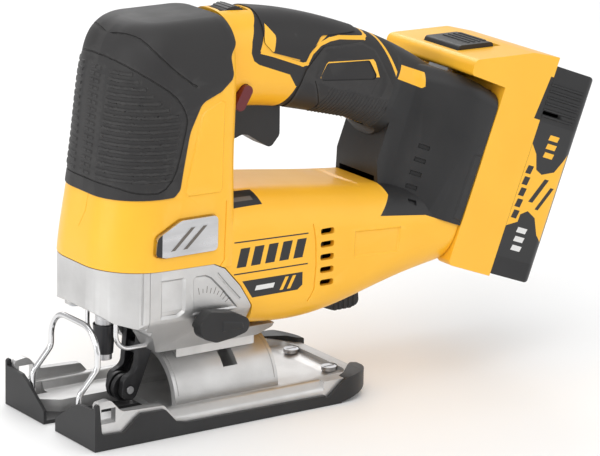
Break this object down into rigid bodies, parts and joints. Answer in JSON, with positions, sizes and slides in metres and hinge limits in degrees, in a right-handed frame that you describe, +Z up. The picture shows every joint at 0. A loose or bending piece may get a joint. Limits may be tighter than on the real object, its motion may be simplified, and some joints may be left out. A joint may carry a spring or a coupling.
{
  "type": "cordless jigsaw",
  "caption": "Cordless jigsaw with a closed top handle, tilting cast shoe, orbital roller, side release lever and a slide-on battery leaning back.",
  "frame": {"origin": "where the blade axis crosses the sole plane", "axes": "+X towards the battery (the saw cuts towards -X), +Y to the tool's right, +Z up along the blade axis"},
  "size_m": [0.3057, 0.0875, 0.2014],
  "materials": {
    "housing_yellow": "fine satin moulded, amber yellow",
    "grip_black": "matt soft-touch overmould",
    "case_black": "fine textured black moulding",
    "cast_silver": "satin die-cast",
    "steel_bright": "bright machined",
    "steel_dark": "blackened",
    "wire_chrome": "polished wire",
    "bronze": "sintered bronze",
    "copper": "enamelled copper wire",
    "magnet_steel": "plain",
    "cell_metal": "sleeved cells, mean density near 2.7",
    "board_green": "circuit board",
    "lens_clear": "clear lens",
    "dark_red": "dark red moulding"
  },
  "bodies": {
    "tool": {"battery_foot": "case_black", "clamp_bolt": "steel_bright", "clamp_nut": "steel_bright", "control_module": "board_green", "finger_guards": "wire_chrome", "gear_axle": "steel_bright", "gearcase": "cast_silver", "handle_grip_left": "grip_black", "handle_grip_right": "grip_black", "housing_left": "housing_yellow", "housing_right": "housing_yellow", "housing_screws": "steel_dark", "lamp_lens": "lens_clear", "motor_bearings": "steel_bright", "motor_end_plate": "cast_silver", "motor_stator": "magnet_steel", "motor_windings": "copper", "nose_cover": "cast_silver", "nose_grip_left": "grip_black", "nose_grip_right": "grip_black", "pivot_pins": "steel_bright", "plunger_bushes": "bronze", "rear_cover_left": "case_black", "rear_cover_right": "case_black", "tool_contacts": "bronze", "top_grip_left": "grip_black", "top_grip_right": "grip_black", "trigger_spring": "steel_bright", "trigger_switch": "case_black"},
    "trigger": {"trigger": "case_black"},
    "lock_off": {"lock_off_button": "dark_red"},
    "dial": {"speed_dial": "case_black"},
    "release_lever": {"release_lever": "steel_bright"},
    "selector": {"orbit_selector": "case_black"},
    "fork": {"orbit_fork": "steel_dark", "roller_pin": "steel_bright"},
    "roller": {"orbit_roller": "steel_dark"},
    "plunger": {"plunger": "steel_bright", "clamp_core": "steel_bright"},
    "clamp_sleeve": {"clamp_sleeve": "steel_dark"},
    "rotor": {"motor_shaft": "steel_bright", "motor_rotor": "magnet_steel", "motor_pinion": "steel_bright", "cooling_fan": "case_black"},
    "gear": {"drive_gear": "steel_bright", "crank_pin": "steel_bright"},
    "shoe": {"shoe_plate": "cast_silver", "sole_cover": "case_black", "wire_guard": "wire_chrome", "shoe_screws": "steel_bright"},
    "bevel_lever": {"bevel_lever_arm": "steel_bright", "bevel_lever_grip": "case_black"},
    "battery": {"battery_cover": "housing_yellow", "battery_case": "case_black", "battery_cells": "cell_metal", "battery_board": "board_green", "battery_terminals": "case_black", "button_spring": "steel_bright"},
    "battery_button": {"battery_button": "case_black", "battery_latch": "steel_bright"}
  },
  "joints": [
    {"name": "trigger_pull", "type": "hinge", "parent": "tool", "child": "trigger", "pos_m": [0.0625, 0, 0.146], "axis": [0, -1, 0], "range_deg": [0, 8.5], "stiffness_Nm_per_rad": 1.2, "springref_deg": -8.59, "deforming": ["trigger_spring"]},
    {"name": "lock_off_slide", "type": "slide", "parent": "tool", "child": "lock_off", "axis": [0, 1, 0], "range_m": [-0.003, 0.003]},
    {"name": "dial_turn", "type": "hinge", "parent": "tool", "child": "dial", "pos_m": [0.069, 0, 0.1932], "axis": [0, 1, 0], "range_deg": [-150, 150]},
    {"name": "release_lever_swing", "type": "hinge", "parent": "tool", "child": "release_lever", "pos_m": [0.0398, -0.0371, 0.098], "axis": [0, 0, 1], "range_deg": [0, 55]},
    {"name": "selector_turn", "type": "hinge", "parent": "tool", "child": "selector", "pos_m": [0.035, -0.0405, 0.0525], "axis": [0, 1, 0], "range_deg": [-75, 0]},
    {"name": "fork_swing", "type": "hinge", "parent": "tool", "child": "fork", "pos_m": [0.0205, 0, 0.041], "axis": [0, 1, 0], "range_deg": [0, 4]},
    {"name": "roller_spin", "type": "hinge", "parent": "fork", "child": "roller", "pos_m": [0.0103, 0, 0.0146], "axis": [0, 1, 0], "continuous": true},
    {"name": "plunger_stroke", "type": "slide", "parent": "tool", "child": "plunger", "axis": [0, 0, 1], "range_m": [-0.003, 0.023]},
    {"name": "clamp_sleeve_turn", "type": "hinge", "parent": "plunger", "child": "clamp_sleeve", "pos_m": [0, 0, 0.04], "axis": [0, 0, 1], "range_deg": [0, 33]},
    {"name": "motor_spin", "type": "hinge", "parent": "tool", "child": "rotor", "pos_m": [0.09, 0, 0.076], "axis": [1, 0, 0], "continuous": true},
    {"name": "gear_spin", "type": "hinge", "parent": "tool", "child": "gear", "pos_m": [0.023, 0, 0.104], "axis": [1, 0, 0], "continuous": true},
    {"name": "shoe_bevel", "type": "hinge", "parent": "tool", "child": "shoe", "pos_m": [0.055, 0, 0.008], "axis": [1, 0, 0], "range_deg": [-45, 45]},
    {"name": "bevel_lever_swing", "type": "hinge", "parent": "tool", "child": "bevel_lever", "pos_m": [0.06, 0, 0.0409], "axis": [0, 0, -1], "range_deg": [0, 30]},
    {"name": "battery_slide", "type": "slide", "parent": "tool", "child": "battery", "axis": [0.3469, 0, 0.9379], "range_m": [0, 0.09]},
    {"name": "battery_button_slide", "type": "slide", "parent": "battery", "child": "battery_button", "axis": [0.9999, 0, -0.014], "range_m": [0, 0.0034], "stiffness_N_per_m": 900, "springref_m": -0.004}
  ],
  "couplings": [
    {"joint": "motor_spin", "follows": "gear_spin", "ratio": -4.6},
    {"joint": "clamp_sleeve_turn", "follows": "release_lever_swing", "ratio": 0.6}
  ]
}
